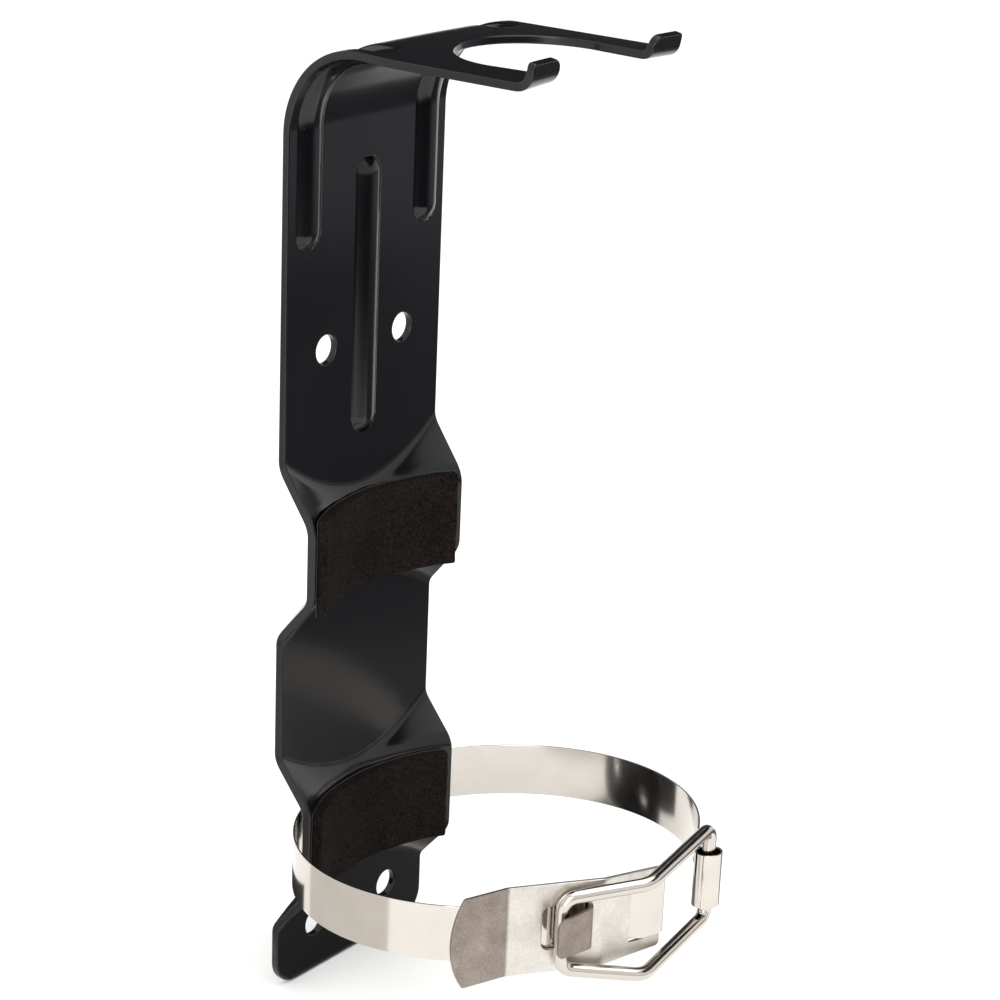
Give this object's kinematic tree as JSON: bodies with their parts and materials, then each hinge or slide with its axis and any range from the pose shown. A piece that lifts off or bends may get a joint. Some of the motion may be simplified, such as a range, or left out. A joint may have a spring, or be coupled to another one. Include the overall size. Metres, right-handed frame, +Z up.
{
  "type": "wall bracket with strap clamp",
  "caption": "Upright sheet steel wall bracket for an air cylinder, with a forked neck support, padded saddles and a steel strap closed by an over-centre latch.",
  "frame": {"origin": "middle of the four screw holes, on the wall side of the back plate", "axes": "+Z up along the plate, +Y towards the wall and -Y out to the cylinder, +X across the plate to the right as seen from the front"},
  "size_m": [0.1384, 0.1398, 0.328],
  "materials": {
    "painted_sheet": "glossy black powder coat",
    "pad_foam": "matte closed-cell foam",
    "adhesive_film": "matte film",
    "bright_strip": "bright rolled stainless strip",
    "brushed_stamping": "dull stainless stamping",
    "bright_wire": "bright drawn wire"
  },
  "bodies": {
    "bracket": {"back_plate": "painted_sheet", "upper_pad": "pad_foam", "lower_pad": "pad_foam", "upper_pad_adhesive": "adhesive_film", "lower_pad_adhesive": "adhesive_film", "strap_band": "bright_strip"},
    "lever": {"latch_lever": "brushed_stamping"},
    "bail": {"bail_wire": "bright_wire"}
  },
  "joints": [
    {"name": "lever_hinge", "type": "hinge", "parent": "bracket", "child": "lever", "pos_m": [-0.0073, -0.13239, -0.0525], "axis": [0, 0, 1], "range_deg": [0, 78]},
    {"name": "bail_hinge", "type": "hinge", "parent": "bracket", "child": "bail", "pos_m": [0.0178, -0.13449, -0.0519], "axis": [0, 0, 1], "range_deg": [0, 47.58]}
  ],
  "couplings": [
    {"joint": "bail_hinge", "follows": "lever_hinge", "ratio": 0.61}
  ]
}
